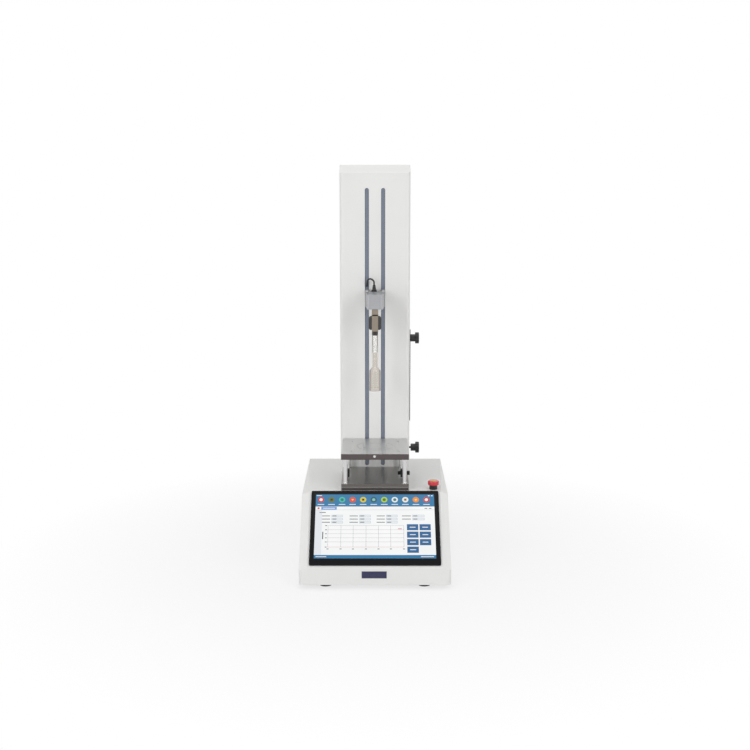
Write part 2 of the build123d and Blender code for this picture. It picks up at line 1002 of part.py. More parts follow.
def upper_stop_knob():
    return stop_knob(upper_stop_z, column_width / 2 + strip_thick + free_gap)


def lower_stop_knob():
    return stop_knob(lower_stop_z, column_width / 2 + lower_knob_standoff)


# Crosshead carriage


def carriage_plate():
    half = plate_height / 2
    plate = block(
        -plate_width / 2, plate_width / 2, plate_front, carriage_front, carriage_z - half, carriage_z + half
    )
    return chamfer(plate.edges().filter_by(Axis.Y), 4.0)


def nut_bracket():
    half = nut_bracket_width / 2
    bottom = carriage_z - nut_bracket_height / 2
    body = block(
        -half, half, carriage_front, screw_y + nut_flange_radius - 2, bottom, bottom + nut_bracket_height
    )
    return body - upright(0, screw_y, bottom - 1, bottom + nut_bracket_height + 1, nut_radius)


def ball_nut():
    bottom = carriage_z - nut_bracket_height / 2 - nut_flange_thick
    body = upright(0, screw_y, bottom, bottom + nut_length, nut_radius)
    flange = upright(0, screw_y, bottom, bottom + nut_flange_thick, nut_flange_radius)
    flat = nut_flange_radius * 0.9
    flange &= block(-flat, flat, screw_y - 60, screw_y + 60, bottom, bottom + nut_flange_thick)
    return body + flange - upright(0, screw_y, bottom - 1, bottom + nut_length + 1, screw_radius + 2 * run_gap)


def carriage_arms():
    pieces = []
    for side in (-1, 1):
        near = side * (arm_x - arm_thick / 2)
        far = side * (arm_x + arm_thick / 2)
        foot = side * (arm_x + arm_thick / 2 + arm_foot_width)
        arm = block(min(near, far), max(near, far), arm_front, plate_front, arm_bottom, arm_top)
        arm += block(
            min(near, foot), max(near, foot), plate_front - arm_foot_thick, plate_front,
            arm_bottom - 8, arm_top + 8,
        )
        pieces.append(arm)
    return Compound(pieces)


def trip_flag():
    start = plate_width / 2 - 10
    return block(
        start, plate_width / 2 + flag_reach, plate_front - flag_thick, plate_front,
        carriage_z - flag_height / 2, carriage_z + flag_height / 2,
    )


# Beam and load cell


def crosshead_beam():
    front = beam_front_width / 2
    rear = arm_x + arm_thick / 2
    outline = make_face(
        Polyline(
            (-front, beam_front),
            (front, beam_front),
            (rear, arm_front),
            (tongue_half, arm_front),
            (tongue_half, tongue_rear),
            (-tongue_half, tongue_rear),
            (-tongue_half, arm_front),
            (-rear, arm_front),
            close=True,
        )
    )
    outline = fillet(outline.vertices().filter_by(lambda v: v.Y < beam_front + 1), beam_round)
    beam = Pos(0, 0, beam_bottom) * extrude(outline, beam_top - beam_bottom)
    for y in beam_screw_ys():
        beam -= upright(0, y, beam_top - beam_screw_head_height, beam_top + 1, beam_screw_head_radius + free_gap)
        beam -= upright(0, y, beam_bottom - 1, beam_top, beam_screw_radius)
    return beam


def beam_screw_ys():
    return (probe_y - beam_screw_spacing / 2, probe_y + beam_screw_spacing / 2)


def beam_screws():
    pieces = []
    for y in beam_screw_ys():
        head_bottom = beam_top - beam_screw_head_height
        head = upright(0, y, head_bottom, beam_top - 0.5, beam_screw_head_radius)
        head -= Pos(0, y, beam_top - 3.5) * extrude(RegularPolygon(2.9, 6), 4)
        shank = upright(0, y, beam_bottom, head_bottom, beam_screw_radius)
        pieces.append(head + shank)
    return Compound(pieces)


def load_cell():
    middle = (beam_bottom + cell_bottom) / 2
    outline = Pos(probe_y, middle) * Rectangle(cell_depth, cell_height)
    outline = fillet(outline.vertices(), cell_round)
    arm = cell_height * 0.24
    reach = cell_depth * 0.72
    for side in (-1, 1):
        end = probe_y - side * cell_depth / 2
        slit = Pos(end + side * reach / 2, middle + side * arm) * Rectangle(reach, cell_slit)
        outline -= slit
    outline -= Pos(probe_y, middle) * RectangleRounded(cell_depth * 0.5, arm, arm * 0.3)
    body = extrude(Plane.YZ * outline, cell_thick / 2, both=True)
    return body - upright(0, probe_y, cell_bottom - 1, cell_bottom + 8, stud_radius)


def gauge_covers():
    pieces = []
    bottom = cell_bottom + cover_above_cell_foot
    for side in (-1, 1):
        near = side * cell_thick / 2
        far = side * (cell_thick / 2 + cover_thick)
        plate = block(
            min(near, far), max(near, far), probe_y - cover_depth / 2, probe_y + cover_depth / 2,
            bottom, bottom + cover_height,
        )
        outer = plate.edges().filter_by(Axis.Y).sort_by(Axis.X)
        outer = outer[-2:] if side > 0 else outer[:2]
        pieces.append(chamfer(outer, cover_chamfer))
    return Compound(pieces)


def cable_gland():
    hexagon = RegularPolygon(gland_across / 2, 6, major_radius=False)
    base = Pos(gland_x, gland_y, beam_top) * extrude(hexagon, gland_base_height)
    boot_height = gland_top - beam_top - gland_base_height
    boot = Cone(boot_radius + 1.5, boot_radius, boot_height)
    boot = Pos(gland_x, gland_y, gland_top - boot_height / 2) * boot
    return base + boot


def lead_points():
    slot_x = -arm_x
    socket_y = plate_front - lead_socket_depth
    run_z = arm_top + lead_socket_height / 2 + free_gap
    return [
        (gland_x, gland_y, gland_top),
        (gland_x, gland_y, gland_top + 8.0),
        (gland_x - 7.0, gland_y + 3.5, gland_top + 14.5),
        (slot_x + 1.6, gland_y + 8.5, gland_top + 11.5),
        (slot_x + 0.1, gland_y + 16.0, run_z + 2.5),
        (slot_x, gland_y + 26.0, run_z),
        (slot_x, socket_y, run_z),
    ]


def lead_path():
    points = [Vector(p) for p in lead_points()]
    radii = []
    for a, b, c in zip(points, points[1:], points[2:]):
        turn = radians((b - a).get_angle(c - b))
        run = min((b - a).length, (c - b).length)
        radii.append(0.45 * run / tan(turn / 2))
    return FilletPolyline(*points, radius=radii), radii


def load_cell_lead():
    path, radii = lead_path()
    start = Plane(origin=path @ 0, z_dir=path % 0)
    tube = sweep(start * Circle(lead_radius), path=path)
    print("lead radii", [round(r, 1) for r in radii], "length", round(path.length, 1))
    print("lead volume over section times length", tube.volume / (3.14159265 * lead_radius**2 * path.length))
    return tube


def lead_socket():
    half = lead_socket_width / 2
    bottom = arm_top + free_gap
    outer = -tongue_half
    return block(
        outer - half * 2, outer, plate_front - lead_socket_depth, plate_front - arm_foot_thick,
        bottom, bottom + lead_socket_height,
    )


# Probe string


def cell_stud():
    return upright(0, probe_y, adapter_top - 8, cell_bottom + 8, stud_radius)


def lock_nut():
    hexagon = RegularPolygon(lock_nut_across / 2, 6, major_radius=False)
    nut = Pos(0, probe_y, adapter_top) * extrude(hexagon, lock_nut_height)
    cone_top = upright(0, probe_y, adapter_top, adapter_top + lock_nut_height, lock_nut_across / 2 + 0.5)
    nut &= chamfer(cone_top.edges(), 0.7)
    return nut - upright(0, probe_y, adapter_top - 1, cell_bottom, stud_radius)


def probe_adapter():
    split_z = adapter_bottom + adapter_neck
    upper = upright(0, probe_y, split_z, adapter_top, adapter_radius)
    upper = chamfer(upper.edges(), 0.6)
    lower = upright(0, probe_y, adapter_bottom, split_z, adapter_radius - 0.3)
    body = upper + lower
    return body - upright(0, probe_y, adapter_top - 8, adapter_top + 1, stud_radius)


def cylinder_probe():
    groove = 0.5
    outline = Polyline(
        (0, adapter_bottom),
        (probe_shank_radius, adapter_bottom),
        (probe_shank_radius, probe_shoulder_top),
        (probe_radius, probe_shoulder_bottom),
        (probe_radius, probe_bottom + 9.0),
        (probe_radius - groove, probe_bottom + 8.5),
        (probe_radius - groove, probe_bottom + 7.5),
        (probe_radius, probe_bottom + 7.0),
        (probe_radius, probe_bottom + 0.6),
        (probe_radius - 0.6, probe_bottom),
        (0, probe_bottom),
        close=True,
    )
    return Pos(0, probe_y, 0) * revolve(Plane.XZ * make_face(outline), Axis.Z)


# Platform


def lower_platform_plate():
    half = lower_plate_width / 2
    front = lower_plate_rear - lower_plate_depth
    plate = block(-half, half, front, lower_plate_rear, deck_top, lower_plate_top)
    plate = chamfer(plate.edges().filter_by(Axis.Z), 1.0)
    middle = (deck_top + lower_plate_top) / 2
    ring = block(-half - 1, half + 1, front - 1, lower_plate_rear + 1, middle - plate_groove / 2, middle + plate_groove / 2)
    ring -= block(
        -half + plate_groove, half - plate_groove, front + plate_groove, lower_plate_rear + 2,
        middle - plate_groove, middle + plate_groove,
    )
    return plate - ring


def post_places():
    front = lower_plate_rear - lower_plate_depth + post_inset_front
    rear = lower_plate_rear - post_inset_rear
    places = []
    for side in (-1, 1):
        places.append((side * post_front_x, front))
        places.append((side * post_rear_x, rear))
    return places


def platform_posts():
    pieces = []
    for x, y in post_places():
        post = upright(x, y, lower_plate_top, upper_plate_bottom, post_radius)
        foot = upright(x, y, lower_plate_top, lower_plate_top + post_foot_height, post_foot_radius)
        pieces.append(post + chamfer(foot.edges().group_by(Axis.Z)[-1], 1.0))
    return Compound(pieces)


def fixture_places():
    return [
        (x * fixture_spacing_x / 2, upper_plate_y + y * fixture_spacing_y / 2) for x in (-1, 1) for y in (-1, 1)
    ]


def upper_platform_plate():
    half = upper_plate_width / 2
    front = upper_plate_y - upper_plate_depth / 2
    plate = block(-half, half, front, front + upper_plate_depth, upper_plate_bottom, upper_plate_top)
    plate = chamfer(plate.edges().filter_by(Axis.Z), 1.0)
    plate = chamfer(plate.edges().group_by(Axis.Z)[-1], 0.6)
    for radius in (ring_radius_outer, ring_radius_inner):
        groove = Circle(radius + ring_width / 2) - Circle(radius - ring_width / 2)
        plate -= Pos(0, upper_plate_y, upper_plate_top - ring_depth) * extrude(groove, 2 * ring_depth)
    for x, y in fixture_places():
        plate -= upright(x, y, upper_plate_bottom - 1, upper_plate_top + 1, fixture_hole_radius)
    return plate


# Thumb wheels


def wheel_z():
    return lower_plate_top + wheel_height


def lug_near():
    return wheel_inner_x + wheel_thick + free_gap


def thumb_wheel_lugs():
    pieces = []
    for side in (-1, 1):
        near = side * lug_near()
        far = side * (lug_near() + lug_thick)
        lug = block(
            min(near, far), max(near, far), wheel_y - lug_depth / 2, wheel_y + lug_depth / 2,
            lower_plate_top, wheel_z() + lug_top_margin,
        )
        lug = fillet(lug.edges().filter_by(Axis.X).group_by(Axis.Z)[-1], 4.0)
        pieces.append(
            lug - crosswise(min(near, far) - 1, max(near, far) + 1, wheel_y, wheel_z(), wheel_stud_radius + run_gap)
        )
    return Compound(pieces)


def toothed_disc(x0, x1):
    disc = crosswise(x0, x1, wheel_y, wheel_z(), wheel_radius)
    disc = chamfer(disc.edges(), 0.5)
    for i in range(wheel_teeth):
        angle = radians(360.0 / wheel_teeth * i)
        disc -= crosswise(
            x0 - 1, x1 + 1,
            wheel_y + (wheel_radius + 0.5) * cos(angle), wheel_z() + (wheel_radius + 0.5) * sin(angle), 1.0,
        )
    return disc


def left_thumb_wheel():
    outer = -(lug_near() + lug_thick)
    stud = crosswise(outer, -wheel_inner_x, wheel_y, wheel_z(), wheel_stud_radius)
    return stud + toothed_disc(-wheel_inner_x - wheel_thick, -wheel_inner_x)


def right_thumb_wheel():
    hub = crosswise(wheel_inner_x - wheel_hub_length, wheel_inner_x, wheel_y, wheel_z(), wheel_hub_radius)
    hub = fillet(hub.edges().group_by(Axis.X)[0], 1.0)
    stud = crosswise(wheel_inner_x, right_knob_x() + wheel_knob_length / 2, wheel_y, wheel_z(), wheel_stud_radius)
    return hub + toothed_disc(wheel_inner_x, wheel_inner_x + wheel_thick) + stud


def right_knob_x():
    return lug_near() + lug_thick + 4.5


def right_thumb_knob():
    start = right_knob_x()
    knob = crosswise(start, start + wheel_knob_length, wheel_y, wheel_z(), wheel_knob_radius)
    knob = fillet(knob.edges(), 1.0)
    return knob - crosswise(start - 1, start + wheel_knob_length / 2, wheel_y, wheel_z(), wheel_stud_radius)


makers = {
    "base_housing": base_housing,
    "chassis_plate": chassis_plate,
    "rubber_feet": rubber_feet,
    "display_bezel": display_bezel,
    "display_glass": display_glass,
    "lcd_module": lcd_module,
    "display_computer": display_computer,
    "estop_collar": estop_collar,
    "estop_contact_block": estop_contact_block,
    "estop_plunger": estop_plunger,
    "estop_cap": estop_cap,
    "socket_panel": socket_panel,
    "mains_inlet": mains_inlet,
    "switch_frame": switch_frame,
    "power_rocker": power_rocker,
    "data_ports": data_ports,
    "power_supply": power_supply,
    "controller_board": controller_board,
    "board_standoffs": board_standoffs,
    "drive_motor": drive_motor,
    "motor_plate": motor_plate,
    "motor_shaft": motor_shaft,
    "shaft_coupling": shaft_coupling,
    "ball_screw": ball_screw,
    "lower_screw_bearing": lambda: screw_bearing(lower_bearing_bottom, lower_bearing_height),
    "upper_screw_bearing": lambda: screw_bearing(
        upper_bearing_top - upper_bearing_height, upper_bearing_height
    ),
    "column_channel": column_channel,
    "guide_rails": guide_rails,
    "rail_carriages": rail_carriages,
    "column_front_cover": column_front_cover,
    "column_back_cover": column_back_cover,
    "back_cover_screws": back_cover_screws,
    "stop_guide_strip": stop_guide_strip,
    "upper_stop_block": lambda: stop_block(upper_stop_z),
    "upper_stop_knob": upper_stop_knob,
    "lower_stop_block": lambda: stop_block(lower_stop_z),
    "lower_stop_knob": lower_stop_knob,
    "carriage_plate": carriage_plate,
    "nut_bracket": nut_bracket,
    "ball_nut": ball_nut,
    "carriage_arms": carriage_arms,
    "trip_flag": trip_flag,
    "crosshead_beam": crosshead_beam,
    "beam_screws": beam_screws,
    "load_cell": load_cell,
    "gauge_covers": gauge_covers,
    "cable_gland": cable_gland,
    "load_cell_lead": load_cell_lead,
    "lead_socket": lead_socket,
    "cell_stud": cell_stud,
    "lock_nut": lock_nut,
    "probe_adapter": probe_adapter,
    "cylinder_probe": cylinder_probe,
    "lower_platform_plate": lower_platform_plate,
    "platform_posts": platform_posts,
    "upper_platform_plate": upper_platform_plate,
    "thumb_wheel_lugs": thumb_wheel_lugs,
    "left_thumb_wheel": left_thumb_wheel,
    "right_thumb_wheel": right_thumb_wheel,
    "right_thumb_knob": right_thumb_knob,
}

for node, make in makers.items():
    export_step(make(), "parts/" + node + ".step")
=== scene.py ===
import math

import bpy
from mathutils import Matrix, Vector


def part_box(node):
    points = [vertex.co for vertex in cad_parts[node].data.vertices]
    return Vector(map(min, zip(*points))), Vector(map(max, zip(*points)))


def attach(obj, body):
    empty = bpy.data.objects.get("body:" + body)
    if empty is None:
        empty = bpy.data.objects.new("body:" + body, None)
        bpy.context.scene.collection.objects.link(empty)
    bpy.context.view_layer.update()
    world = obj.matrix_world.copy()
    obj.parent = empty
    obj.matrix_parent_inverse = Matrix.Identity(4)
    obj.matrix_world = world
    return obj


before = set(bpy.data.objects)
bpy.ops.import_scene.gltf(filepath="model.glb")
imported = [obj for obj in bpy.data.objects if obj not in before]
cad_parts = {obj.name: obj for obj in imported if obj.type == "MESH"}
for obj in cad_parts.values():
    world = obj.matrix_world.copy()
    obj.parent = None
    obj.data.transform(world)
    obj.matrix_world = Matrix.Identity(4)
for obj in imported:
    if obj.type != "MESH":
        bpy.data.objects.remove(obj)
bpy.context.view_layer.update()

# Camera: a little below the column's top, 2.3 m in front of the base, pitched down.
bpy.ops.object.select_all(action="DESELECT")
bpy.ops.object.camera_add(location=(0, -2.5066, 0.8449), rotation=(math.radians(80.5), 0, 0))
camera = bpy.context.object
camera.data.type = "PERSP"
camera.data.sensor_width = 36
camera.data.lens = 53.76
bpy.context.scene.camera = camera


# Base housing: a folded sheet steel casing with a sloped front panel, coated with
# off-white powder paint that has a fine orange peel.
class Value:
    """A number or colour in a material that can be added, multiplied and compared."""

    def __init__(self, tree, socket):
        self.tree = tree
        self.socket = socket

    def math(self, operation, *others):
        terms = dict(enumerate((self, *others)))
        return self.tree.node("ShaderNodeMath", terms, 0, operation=operation)

    def __add__(self, other):
        return self.math("ADD", other)

    def __sub__(self, other):
        return self.math("SUBTRACT", other)

    def __rsub__(self, other):
        return self * -1.0 + other

    def __mul__(self, other):
        return self.math("MULTIPLY", other)

    def __truediv__(self, other):
        return self.math("DIVIDE", other)

    def __lt__(self, other):
        return self.math("LESS_THAN", other)

    def __gt__(self, other):
        return self.math("GREATER_THAN", other)

    __radd__ = __add__
    __rmul__ = __mul__


class Tree:
    """The nodes of a material or of the world."""

    def __init__(self, owner):
        owner.use_nodes = True
        self.owner = owner
        self.nodes = owner.node_tree.nodes
        self.links = owner.node_tree.links

    def feed(self, socket, value):
        if isinstance(value, Value):
            self.links.new(value.socket, socket)
        else:
            socket.default_value = value

    def node(self, kind, inputs, output=0, **settings):
        made = self.nodes.new(kind)
        for name, value in settings.items():
            setattr(made, name, value)
        for name, value in inputs.items():
            self.feed(made.inputs[name], value)
        return Value(self, made.outputs[output])

    def place(self):
        return self.node("ShaderNodeTexCoord", {}, "Object")

    def axis(self, letter):
        return self.node("ShaderNodeSeparateXYZ", {0: self.place()}, letter)

    def scaled(self, vector, factors):
        return self.node("ShaderNodeVectorMath", {0: vector, 1: factors}, 0, operation="MULTIPLY")

    def noise(self, scale, detail=2.0, vector=None):
        inputs = {"Vector": vector or self.place(), "Scale": scale, "Detail": detail}
        return self.node("ShaderNodeTexNoise", inputs, "Fac")

    def mix(self, first, second, share):
        return self.node("ShaderNodeMix", {0: share, 6: first, 7: second}, 2, data_type="RGBA")

    def bump(self, height, depth):
        return self.node("ShaderNodeBump", {"Height": height, "Distance": depth}, "Normal")


class Paint(Tree):
    """A material whose shader inputs are given by name."""

    def __init__(self, name):
        super().__init__(bpy.data.materials.new(name))

    def set(self, inputs):
        for name, value in inputs.items():
            self.feed(self.nodes["Principled BSDF"].inputs[name], value)
        return self.owner


def tone(red, green, blue):
    """A colour as it is read off a picture, from 0 to 255, made linear for a shader."""
    shares = [part / 255 for part in (red, green, blue)]
    linear = [s / 12.92 if s <= 0.04045 else ((s + 0.055) / 1.055) ** 2.4 for s in shares]
    return (*linear, 1.0)


def darker(color, factor):
    """The colour with its light cut by a factor."""
    return (*[part * factor for part in color[:3]], 1.0)


def powder_coat(name, color, roughness=0.42, grain=0.0011, depth=0.00007):
    """Baked paint with the fine waves of powder, and a faint cloud in its colour."""
    paint = Paint(name)
    peel = paint.noise(1 / grain, 1.0)
    cloud = paint.noise(11.0, 3.0)
    return paint.set({
        "Base Color": paint.mix(darker(color, 0.955), color, cloud),
        "Roughness": (cloud - 0.5) * 0.12 + (peel - 0.5) * 0.1 + roughness,
        "Normal": paint.bump(peel, depth),
    })


def dress(material, *names):
    """Gives CAD nodes their finish."""
    for name in names:
        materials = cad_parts[name].data.materials
        materials.clear()
        materials.append(material)


coat_white = tone(235, 235, 233)
dress(powder_coat("base_coat", coat_white), "base_housing")


# Screws of the base housing: zinc pan heads with a driver socket, three along the foot of
# each side and one by each corner of the back.
def rod(name, centre, radius, depth, turn=(0, 0, 0), sides=48, edge=0.0):
    """A round bar about Z, or about where turn takes Z, with bevelled ends."""
    bpy.ops.object.select_all(action="DESELECT")
    bpy.ops.mesh.primitive_cylinder_add(vertices=sides, radius=radius, depth=depth)
    made = bpy.context.object
    made.name = name
    if edge:
        bevel = made.modifiers.new("edge", "BEVEL")
        bevel.width = edge
        bevel.segments = 2
        bevel.limit_method = "ANGLE"
        bevel.angle_limit = math.radians(50)
        bpy.ops.object.modifier_apply(modifier="edge")
    made.rotation_euler = turn
    made.location = centre
    bpy.ops.object.transform_apply()
    bpy.ops.object.shade_smooth_by_angle(angle=math.radians(35))
    return made


def join(name, made):
    """Makes one object of several."""
    bpy.ops.object.select_all(action="DESELECT")
    for piece in made:
        piece.select_set(True)
    bpy.context.view_layer.objects.active = made[0]
    bpy.ops.object.join()
    made[0].name = name
    return made[0]


def finish_piece(made, material, body):
    """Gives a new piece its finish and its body."""
    made.data.materials.clear()
    made.data.materials.append(material)
    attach(made, body)


def screw_head(name, foot, turn, radius, height):
    """A pan head with a round driver socket, whose flat underside is centred on foot."""
    bpy.ops.object.select_all(action="DESELECT")
    bpy.ops.mesh.primitive_cylinder_add(
        vertices=24, radius=radius, depth=height, location=(0, 0, height / 2))
    made = bpy.context.object
    made.name = name
    bpy.ops.object.transform_apply()
    for face in made.data.polygons:
        face.select = face.normal.z > 0.9
    for edge in made.data.edges:
        edge.select = False
    for vertex in made.data.vertices:
        vertex.select = vertex.co.z > height / 2
    bpy.ops.object.mode_set(mode="EDIT")
    bpy.ops.mesh.select_mode(type="FACE")
    bpy.ops.mesh.inset(thickness=radius * 0.14)
    bpy.ops.transform.translate(value=(0, 0, height * 0.22))
    bpy.ops.mesh.inset(thickness=radius * 0.38)
    bpy.ops.mesh.extrude_region_move(TRANSFORM_OT_translate={"value": (0, 0, -height * 0.6)})
    bpy.ops.object.mode_set(mode="OBJECT")
    made.rotation_euler = turn
    made.location = foot
    bpy.ops.object.transform_apply()
    bpy.ops.object.shade_smooth_by_angle(angle=math.radians(40))
    return made


def brushed_metal(name, color, roughness, run, metallic=1.0, contrast=0.82, depth=0.000006):
    """Metal with fine straight lines along the axis run."""
    paint = Paint(name)
    stretch = [30.0 if letter == run else 2600.0 for letter in "XYZ"]
    lines = paint.noise(1.0, 2.0, paint.scaled(paint.place(), stretch))
    cloud = paint.noise(24.0, 2.0)
    return paint.set({
        "Base Color": paint.mix(darker(color, contrast), color, lines),
        "Metallic": metallic,
        "Roughness": (lines - 0.5) * 0.22 + (cloud - 0.5) * 0.12 + roughness,
        "Normal": paint.bump(lines, depth),
    })


screw_zinc = brushed_metal("screw_zinc", tone(190, 190, 186), 0.32, "Z")
side_x, rear_y = 0.1625, 0.224
side_screw_z = 0.026
pan_radius, pan_height = 0.0031, 0.0012
heads = []
for side in (-1, 1):
    for y in (-0.13, 0.02, 0.17):
        foot = (side * side_x, y, side_screw_z)
        heads.append(screw_head("head", foot, (0, side * math.pi / 2, 0), pan_radius, pan_height))
for x in (-0.15, 0.15):
    for z in (0.022, 0.165):
        heads.append(screw_head("head", (x, rear_y, z), (-math.pi / 2, 0, 0), pan_radius, pan_height))
finish_piece(join("housing_screws", heads), screw_zinc, "frame")

# Chassis plate and feet: a zinc plated steel plate under the housing, and four moulded
# rubber feet screwed to it.
chassis_zinc = brushed_metal("chassis_zinc", tone(150, 150, 146), 0.45, "X")
dress(chassis_zinc, "chassis_plate")


def moulded(name, color, roughness, grain=0.0005, depth=0.00004, coat=0.0, gleam=0.5):
    """Plastic or rubber from a grained mould, cloudy by a small share."""
    paint = Paint(name)
    grains = paint.noise(1 / grain, 2.0)
    cloud = paint.noise(40.0, 3.0)
    return paint.set({
        "Base Color": paint.mix(darker(color, 0.85), color, cloud),
        "Roughness": (grains - 0.5) * 0.16 + (cloud - 0.5) * 0.1 + roughness,
        "Coat Weight": coat,
        "Specular IOR Level": gleam,
        "Normal": paint.bump(grains, depth),
    })


foot_rubber = moulded("foot_rubber", tone(22, 22, 23), 0.85, grain=0.0008, depth=0.0001, gleam=0.1)
dress(foot_rubber, "rubber_feet")


# Nameplate: a blank dark blue plate with a fine bright rim, stamped from thin sheet and
# glued to the lip under the screen.
def block(name, low, high, edge=0.0):
    """A box between two corners, with bevelled edges."""
    bpy.ops.object.select_all(action="DESELECT")
    centre = [(a + b) / 2 for a, b in zip(low, high)]
    size = [b - a for a, b in zip(low, high)]
    bpy.ops.mesh.primitive_cube_add(size=1, location=centre, scale=size)
    made = bpy.context.object
    made.name = name
    bpy.ops.object.transform_apply()
    if edge:
        bevel = made.modifiers.new("edge", "BEVEL")
        bevel.width = edge
        bevel.segments = 2
        bpy.ops.object.modifier_apply(modifier="edge")
    return made


lip_y = -0.2275
plate_left, plate_right, plate_foot, plate_top = -0.0285, 0.025, 0.0248, 0.0404
rim_front = lip_y - 0.0006
rim = block("nameplate_rim", (plate_left, rim_front, plate_foot), (plate_right, lip_y, plate_top), 0.0002)
finish_piece(rim, brushed_metal("nameplate_metal", tone(120, 124, 136), 0.35, "X"), "frame")
inset, proud = 0.0007, 0.0002
face = block("nameplate_face", (plate_left + inset, rim_front - proud, plate_foot + inset),
             (plate_right - inset, rim_front + proud, plate_top - inset))
finish_piece(face, moulded("nameplate_ink", tone(44, 46, 84), 0.3, depth=0.00001), "frame")

# Display: a glossy black bezel round black glass, with the screen module and its computer
# behind it, fixed to the slope. The picture is a lit layer just over the glass.
bezel_plastic = moulded("bezel_plastic", tone(16, 15, 19), 0.2, grain=0.0009, depth=0.000008, gleam=0.12)
dress(bezel_plastic, "display_bezel")
black_glass = moulded("screen_black_glass", tone(10, 10, 13), 0.08, grain=0.02, depth=0.000002, gleam=0.15)
dress(black_glass, "display_glass")
dress(brushed_metal("screen_back_plate", tone(165, 168, 170), 0.4, "X"), "lcd_module")
dress(moulded("computer_case", tone(70, 72, 76), 0.5), "display_computer")
panel_rise, panel_run = 128.5, 137.0
lip_top, up_slope, out_of_slope = 0.0495, 0.09495, 0.0046
panel_angle = math.atan2(panel_rise, panel_run)
panel_up = Vector((0, math.cos(panel_angle), math.sin(panel_angle)))
panel_out = Vector((0, -math.sin(panel_angle), math.cos(panel_angle)))
screen_centre = Vector((0, lip_y, lip_top)) + panel_up * up_slope + panel_out * out_of_slope
film = 0.00003
picture = []


def painted(made, color):
    """Gives a piece of the picture its colour."""
    layer = made.data.color_attributes.new(name="tint", type="FLOAT_COLOR", domain="CORNER")
    for corner in layer.data:
        corner.color = color
    picture.append(made)


def tile(left, right, foot, top, level, color):
    """A rectangle of the picture, in millimetres from the middle of the screen."""
    painted(block("tile", (left / 1000, foot / 1000, level * film),
                  (right / 1000, top / 1000, level * film + film)), color)


def spot(x, y, radius, level, color, sides=24):
    """A round or many-sided mark of the picture."""
    painted(rod("spot", (x / 1000, y / 1000, (level + 0.5) * film), radius / 1000, film,
                (0, 0, math.pi / sides), sides), color)


page = tone(250, 252, 252)
bar_blue = tone(11, 116, 166)
button_blue = tone(15, 96, 151)
ink = tone(34, 36, 42)
pale = tone(250, 250, 250)
left, right, low, high = -130.6, 130.6, -76.5, 82.0
tile(left, right, low, high, 0, page)
tile(left, right, 51.7, high, 1, bar_blue)
tile(left, right, 50.9, 51.7, 1, tone(150, 160, 170))
tile(-129, -117.5, 78.2, 79.8, 2, pale)
tile(117, 121, 77.4, 79.8, 2, pale)
tile(124, 127.5, 77.4, 79.8, 2, pale)
icons = [
    (tone(214, 40, 44), pale, 24), (tone(96, 110, 40), tone(30, 36, 24), 4),
    (tone(52, 190, 170), tone(12, 110, 110), 24), (tone(226, 70, 30), tone(250, 190, 150), 3),
    (tone(222, 200, 40), tone(30, 30, 24), 4), (tone(18, 74, 84), tone(120, 200, 190), 24),
    (tone(176, 210, 40), tone(60, 110, 20), 24), (tone(236, 242, 240), tone(30, 120, 120), 24),
    (tone(240, 238, 228), tone(122, 84, 40), 4), (tone(240, 140, 30), tone(255, 220, 150), 3),
    (tone(210, 44, 36), pale, 24),
]
first_icon, icon_pitch, icon_up = -119.1, 23.25, 68.6
for number, (outer, inner, sides) in enumerate(icons):
    x = first_icon + icon_pitch * number
    spot(x, icon_up, 7.0, 2, outer)
    spot(x, icon_up, 3.6, 3, inner, sides)
    tile(x - 7.2, x + 7.2, 55.6, 57.2, 2, pale)
tile(-118, -84, 43.2, 50.4, 1, tone(110, 155, 220))
tile(-114, -88, 46, 47.6, 2, pale)
spot(-124, 46.8, 2.2, 1, tone(214, 40, 44))
tile(109, 115, 45.6, 47.2, 1, ink)
tile(118, 124, 45.6, 47.2, 1, ink)
tile(left, right, 42.4, 42.9, 1, tone(170, 176, 182))
tile(-122, -108, 35.4, 37, 1, ink)
field_up, field_pitch = 27.4, 7.9
columns = [(-116, -70.5, 3), (-55.6, -9.5, 3), (3.5, 49, 3), (59, 108, 2)]
for start, end, rows in columns:
    for row in range(rows):
        y = field_up - field_pitch * row
        label_end = start + 0.46 * (end - start)
        tile(start, label_end - 3, y - 0.8, y + 0.8, 1, ink)
        tile(label_end, end, y - 2.7, y + 2.7, 1, tone(130, 150, 184))
        tile(label_end + 0.4, end - 0.4, y - 2.3, y + 2.3, 2, tone(234, 239, 242))
        tile(label_end + 2, label_end + 11, y - 0.8, y + 0.8, 3, ink)
chart_left, chart_right, chart_foot, chart_top = -102.1, 62.4, -49.4, 3.5
tile(left, -115.5, -68.3, 42.4, 1, tone(233, 237, 242))
tile(chart_left, chart_right, chart_foot, chart_top, 2, tone(253, 253, 253))
for x in (-102.1, -74.1, -47.6, -19.7, 7.2, 33.7, 62.0):
    tile(x, x + 0.5, chart_foot, chart_top, 3, tone(120, 128, 138))
    tile(x - 2, x + 2.5, -54.6, -53, 1, ink)
for y in (3.1, -7.2, -17, -27, -37, chart_foot):
    line = tone(214, 112, 84) if y == chart_foot else tone(150, 158, 166)
    tile(chart_left, chart_right, y, y + 0.5, 3, line)
    tile(-108, -104, y - 0.7, y + 0.9, 1, ink)
tile(-114, -112, -30, -12, 2, ink)
tile(50, 58, -5.5, -3.9, 4, tone(200, 60, 50))
button_up, button_pitch, button_height = 6.8, 18.3, 15
for start, end, rows in ((69.3, 94, 4), (96.7, 121, 3)):
    for row in range(rows):
        top = button_up - button_pitch * row
        tile(start, end, top - button_height, top, 1, tone(10, 62, 128))
        tile(start + 0.5, end - 0.5, top - 14.4, top - 0.5, 2, button_blue)
        tile(start + 6, end - 6, top - 8.4, top - 6.6, 3, pale)
tile(left, right, low, -68.3, 1, bar_blue)
tile(-127, -104, -73.2, -71.6, 2, pale)
